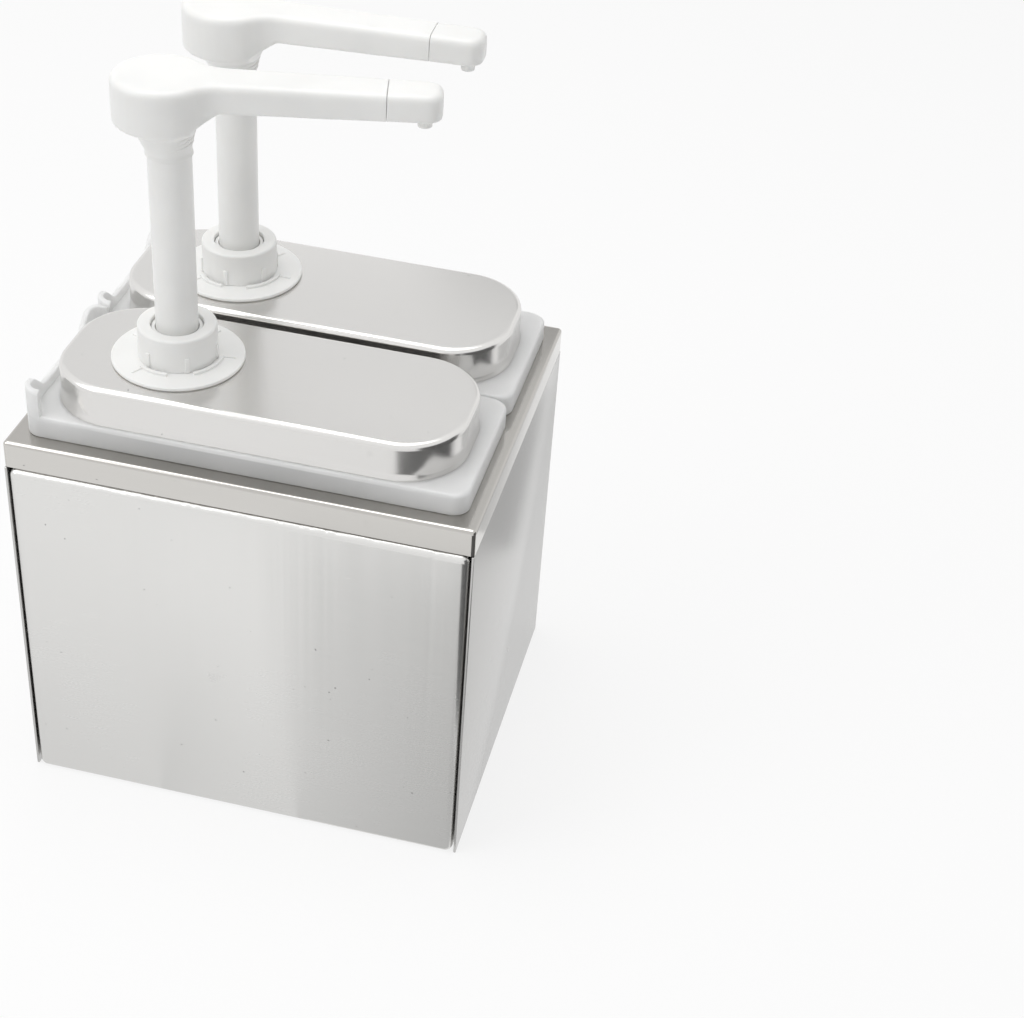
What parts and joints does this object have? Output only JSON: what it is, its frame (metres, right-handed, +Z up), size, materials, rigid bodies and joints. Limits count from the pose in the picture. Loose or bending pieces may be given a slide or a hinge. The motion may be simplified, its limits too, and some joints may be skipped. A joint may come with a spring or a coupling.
{
  "type": "sauce dispenser",
  "caption": "Counter-top sauce dispenser: a folded steel housing holds translucent jars side by side, each with a steel lid and a white plastic push pump with a swivelling spout.",
  "frame": {"origin": "centre of the housing's base, on the surface it stands on", "axes": "+Z up, +X along the front panel towards the spouts, -Y out of the front panel"},
  "size_m": [0.23, 0.192, 0.382],
  "materials": {
    "housing_steel": "satin brushed sheet",
    "lid_steel": "satin brushed, pressed",
    "jar_plastic": "milky translucent polypropylene",
    "pump_plastic": "white, soft gloss",
    "seal_rubber": "smooth",
    "valve_steel": "bright drawn wire and polished balls"
  },
  "bodies": {
    "housing": {"front_panel": "housing_steel", "rear_panel": "housing_steel", "right_panel": "housing_steel", "left_panel": "housing_steel", "base_plate": "housing_steel", "top_frame": "housing_steel"},
    "front_tank": {"front_jar": "jar_plastic"},
    "front_pump": {"front_lid": "lid_steel", "front_mounting_plate": "pump_plastic", "front_collar_nut": "pump_plastic", "front_stem_guide": "pump_plastic", "front_cylinder_gasket": "seal_rubber", "front_cylinder": "pump_plastic", "front_foot_valve": "pump_plastic", "front_dip_tube": "pump_plastic", "front_return_spring": "valve_steel"},
    "front_plunger": {"front_stem": "pump_plastic", "front_piston": "pump_plastic", "front_piston_seal": "seal_rubber"},
    "front_spout": {"front_head": "pump_plastic", "front_nozzle_tip": "pump_plastic"},
    "front_outlet_valve": {"front_outlet_ball": "valve_steel"},
    "front_inlet_valve": {"front_inlet_ball": "valve_steel"},
    "rear_tank": {"rear_jar": "jar_plastic"},
    "rear_pump": {"rear_lid": "lid_steel", "rear_mounting_plate": "pump_plastic", "rear_collar_nut": "pump_plastic", "rear_stem_guide": "pump_plastic", "rear_cylinder_gasket": "seal_rubber", "rear_cylinder": "pump_plastic", "rear_foot_valve": "pump_plastic", "rear_dip_tube": "pump_plastic", "rear_return_spring": "valve_steel"},
    "rear_plunger": {"rear_stem": "pump_plastic", "rear_piston": "pump_plastic", "rear_piston_seal": "seal_rubber"},
    "rear_spout": {"rear_head": "pump_plastic", "rear_nozzle_tip": "pump_plastic"},
    "rear_outlet_valve": {"rear_outlet_ball": "valve_steel"},
    "rear_inlet_valve": {"rear_inlet_ball": "valve_steel"}
  },
  "joints": [
    {"name": "front_jar_lift", "type": "slide", "parent": "housing", "child": "front_tank", "axis": [0, 0, 1], "range_m": [0, 0.21]},
    {"name": "front_lid_lift", "type": "slide", "parent": "front_tank", "child": "front_pump", "axis": [0, 0, 1], "range_m": [0, 0.225]},
    {"name": "front_pump_stroke", "type": "slide", "parent": "front_pump", "child": "front_plunger", "axis": [0, 0, -1], "range_m": [0, 0.06], "stiffness_N_per_m": 250, "springref_m": -0.03, "deforming": ["front_return_spring"]},
    {"name": "front_head_swivel", "type": "hinge", "parent": "front_plunger", "child": "front_spout", "pos_m": [-0.0455, -0.043, 0.35], "axis": [0, 0, 1], "range_deg": [-253, 7]},
    {"name": "front_outlet_ball_lift", "type": "slide", "parent": "front_plunger", "child": "front_outlet_valve", "axis": [0, 0, 1], "range_m": [0, 0.0023]},
    {"name": "front_inlet_ball_lift", "type": "slide", "parent": "front_pump", "child": "front_inlet_valve", "axis": [0, 0, 1], "range_m": [0, 0.0023]},
    {"name": "rear_jar_lift", "type": "slide", "parent": "housing", "child": "rear_tank", "axis": [0, 0, 1], "range_m": [0, 0.21]},
    {"name": "rear_lid_lift", "type": "slide", "parent": "rear_tank", "child": "rear_pump", "axis": [0, 0, 1], "range_m": [0, 0.225]},
    {"name": "rear_pump_stroke", "type": "slide", "parent": "rear_pump", "child": "rear_plunger", "axis": [0, 0, -1], "range_m": [0, 0.06], "stiffness_N_per_m": 250, "springref_m": -0.03, "deforming": ["rear_return_spring"]},
    {"name": "rear_head_swivel", "type": "hinge", "parent": "rear_plunger", "child": "rear_spout", "pos_m": [-0.0455, 0.043, 0.35], "axis": [0, 0, 1], "range_deg": [-12.5, 237.5]},
    {"name": "rear_outlet_ball_lift", "type": "slide", "parent": "rear_plunger", "child": "rear_outlet_valve", "axis": [0, 0, 1], "range_m": [0, 0.0023]},
    {"name": "rear_inlet_ball_lift", "type": "slide", "parent": "rear_pump", "child": "rear_inlet_valve", "axis": [0, 0, 1], "range_m": [0, 0.0023]}
  ]
}
